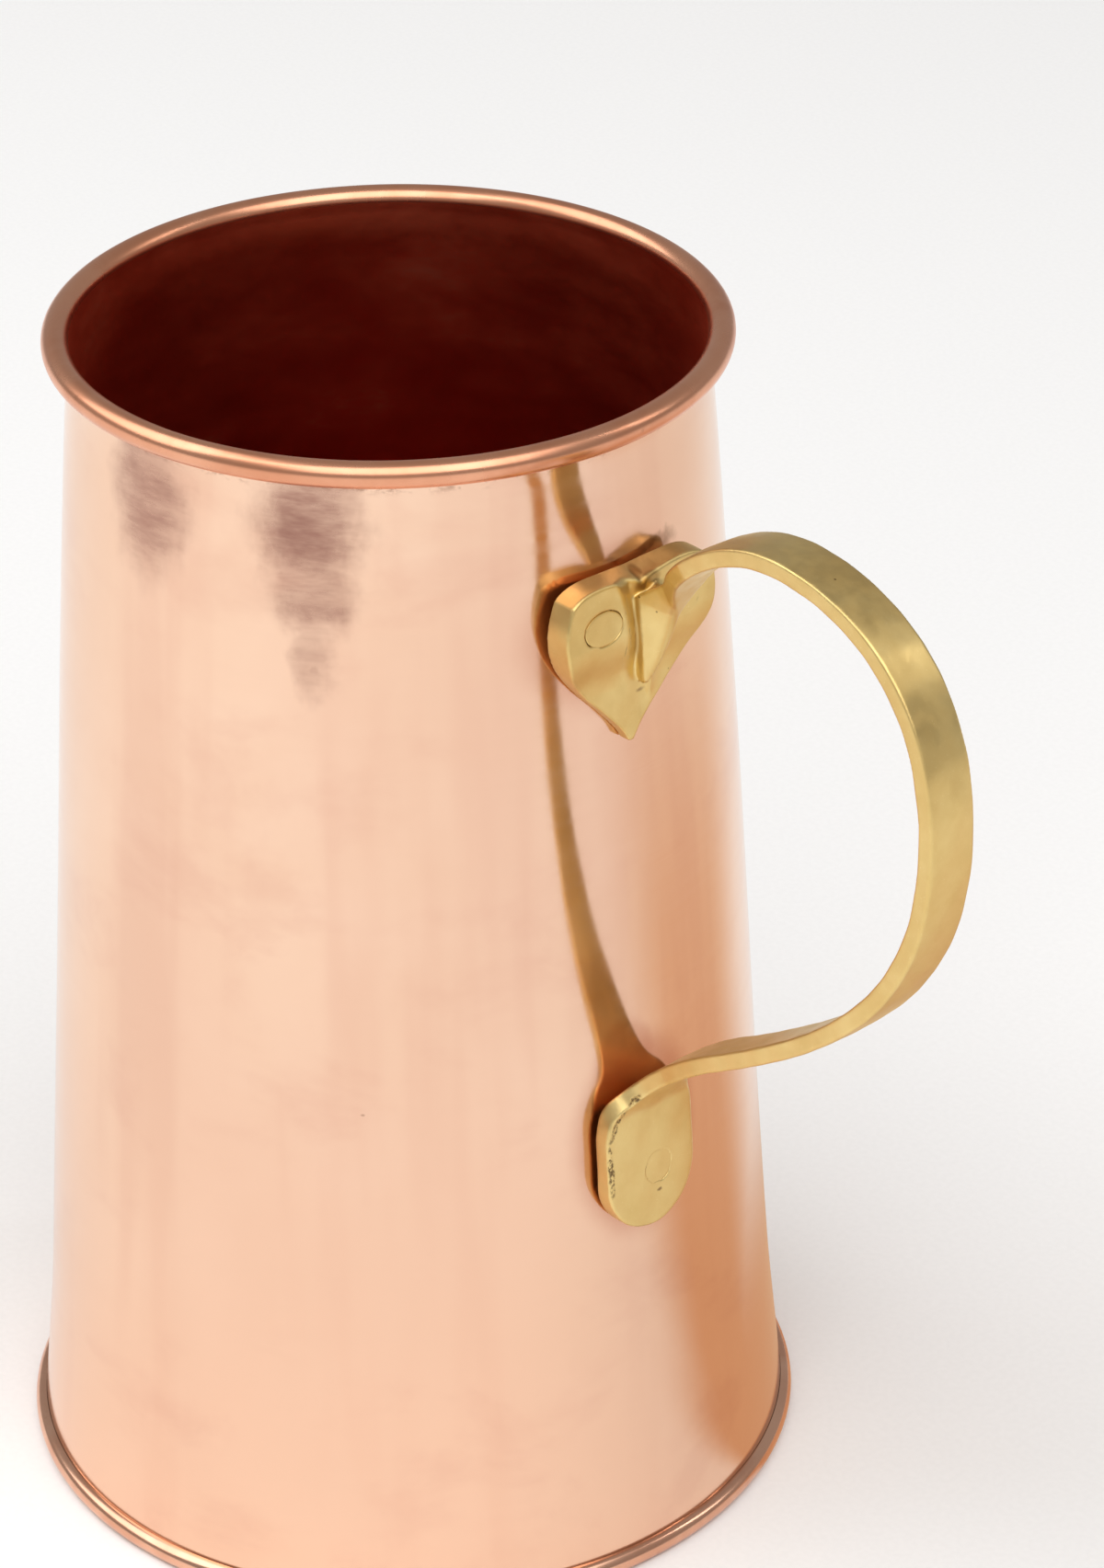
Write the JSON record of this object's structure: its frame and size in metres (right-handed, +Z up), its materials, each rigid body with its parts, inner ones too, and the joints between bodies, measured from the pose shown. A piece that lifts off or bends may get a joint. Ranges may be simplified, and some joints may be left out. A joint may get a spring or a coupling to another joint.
{
  "type": "copper water jug",
  "caption": "Tapering sheet copper jug with a wired rim, a folded foot and a cast brass strap handle held on by flush rivets.",
  "frame": {"origin": "centre of the ring under the foot that the jug stands on", "axes": "+Z up along the jug's axis, +X from the axis towards the handle"},
  "size_m": [0.1864, 0.1288, 0.2],
  "materials": {
    "copper_wall": "hand-polished copper sheet, satin outside and darkened inside",
    "rim_wire": "drawn copper wire",
    "copper_base": "hand-polished copper sheet",
    "solder": "dull soft solder",
    "cast_brass": "satin cast brass with small casting pits",
    "rivet_brass": "filed brass",
    "washer_copper": "plain copper"
  },
  "bodies": {
    "root": {"wall": "copper_wall", "rim_wire": "rim_wire", "base_plate": "copper_base", "seam_solder": "solder", "handle": "cast_brass", "rivet_upper_left": "rivet_brass", "rivet_upper_right": "rivet_brass", "rivet_lower": "rivet_brass", "washer_upper_left": "washer_copper", "washer_upper_right": "washer_copper", "washer_lower": "washer_copper"}
  },
  "joints": []
}
